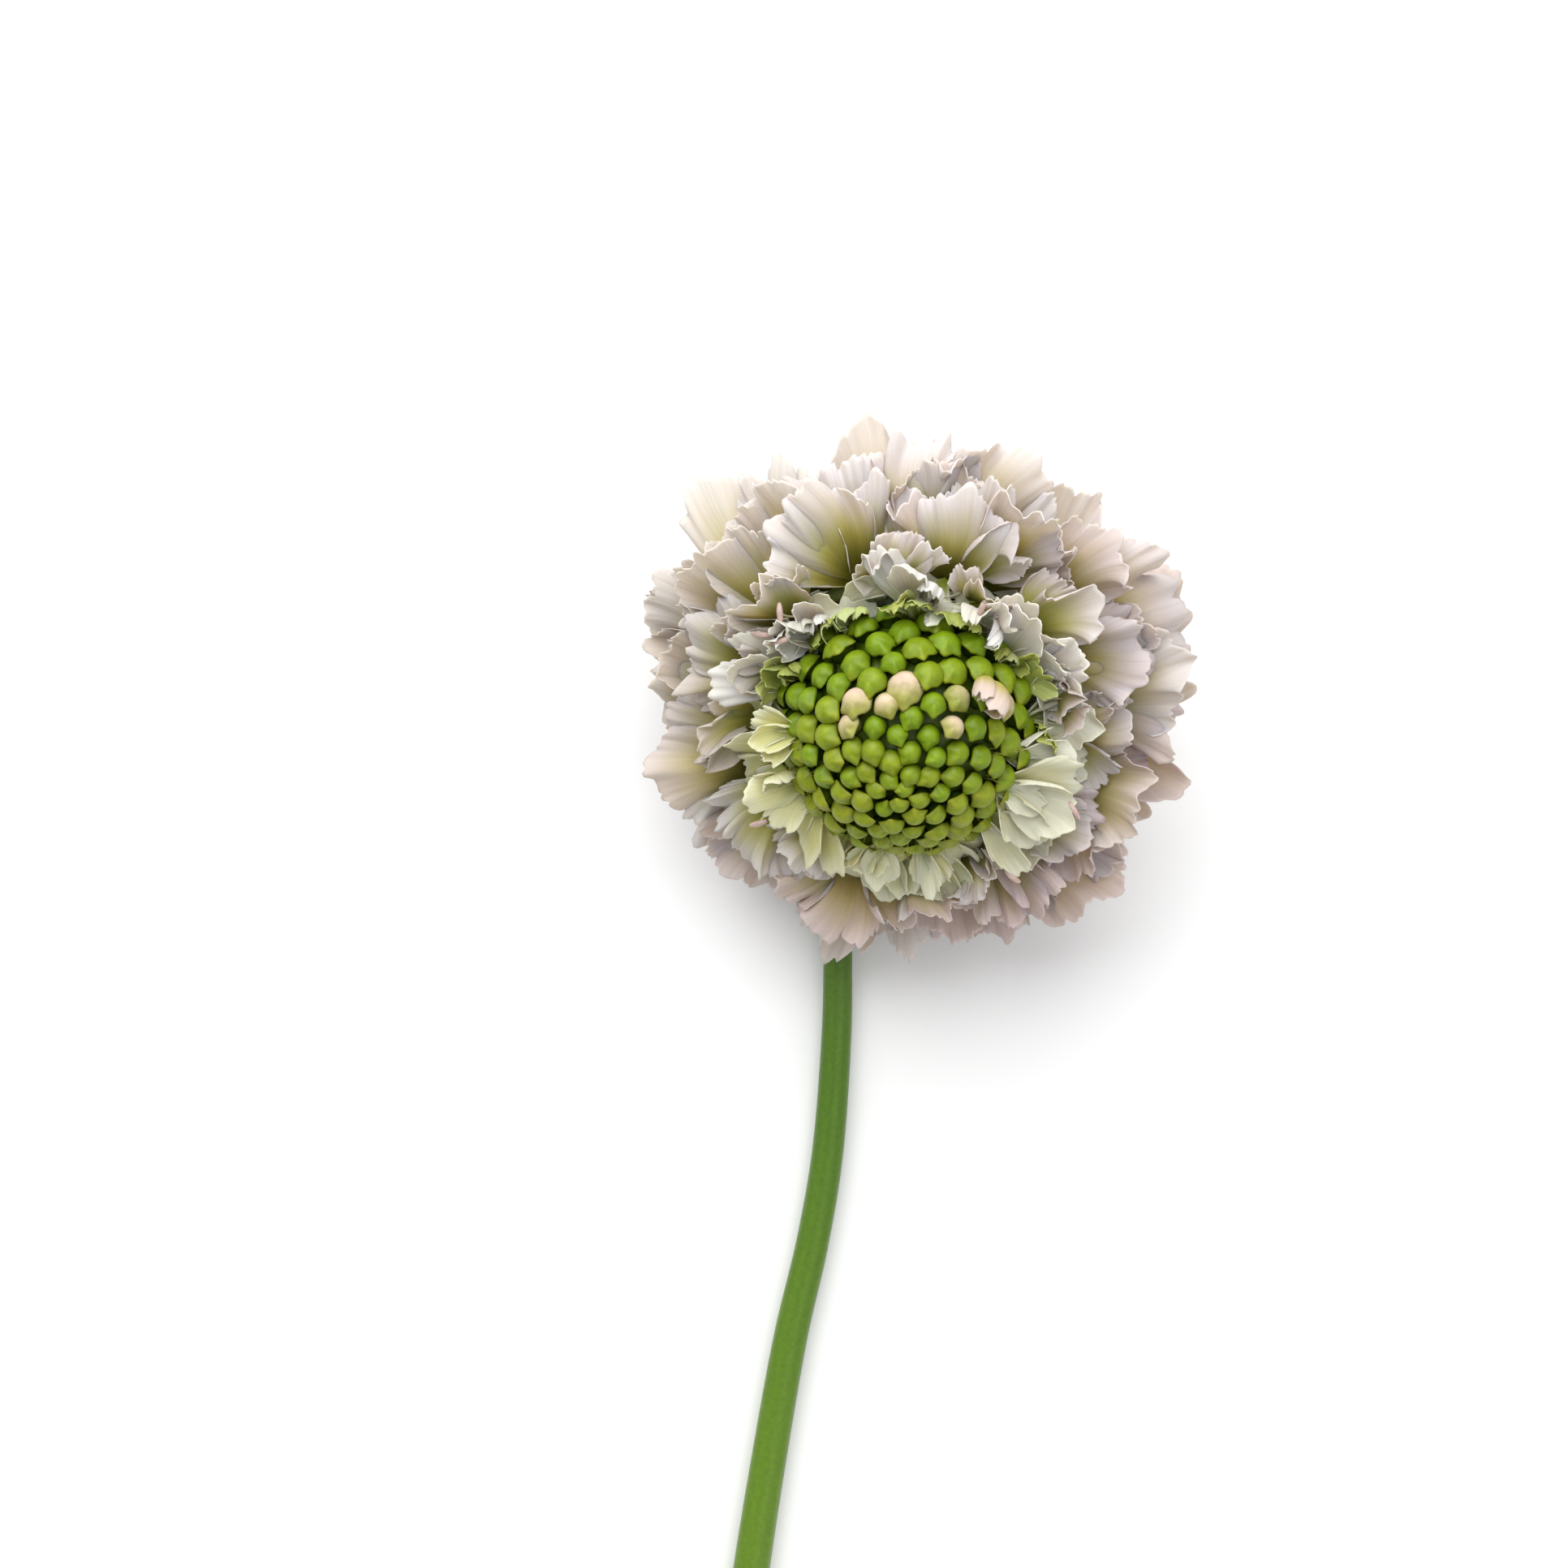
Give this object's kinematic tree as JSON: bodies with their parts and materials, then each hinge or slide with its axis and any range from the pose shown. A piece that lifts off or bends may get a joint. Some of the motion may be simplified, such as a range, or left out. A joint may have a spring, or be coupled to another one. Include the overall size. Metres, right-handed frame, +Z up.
{
  "type": "cut scabiosa flower",
  "caption": "Cut scabiosa: a ruffled pale bloom round a high green boss of buds, on a bare green stem that lies along the surface.",
  "frame": {"origin": "middle of the bounding box, on the surface that the flower lies on", "axes": "+Z up from the surface, the way the bloom faces; +Y along the stem from its cut end to the bloom; +X to the right when looked at from above with the bloom at the top"},
  "size_m": [0.0744, 0.2584, 0.0492],
  "materials": {
    "stem": "satin",
    "bract": "matte",
    "bud": "satin",
    "petal": "matte"
  },
  "bodies": {
    "root": {"stem": "stem", "involucre": "bract", "bud_boss": "bud", "florets": "petal"}
  },
  "joints": []
}
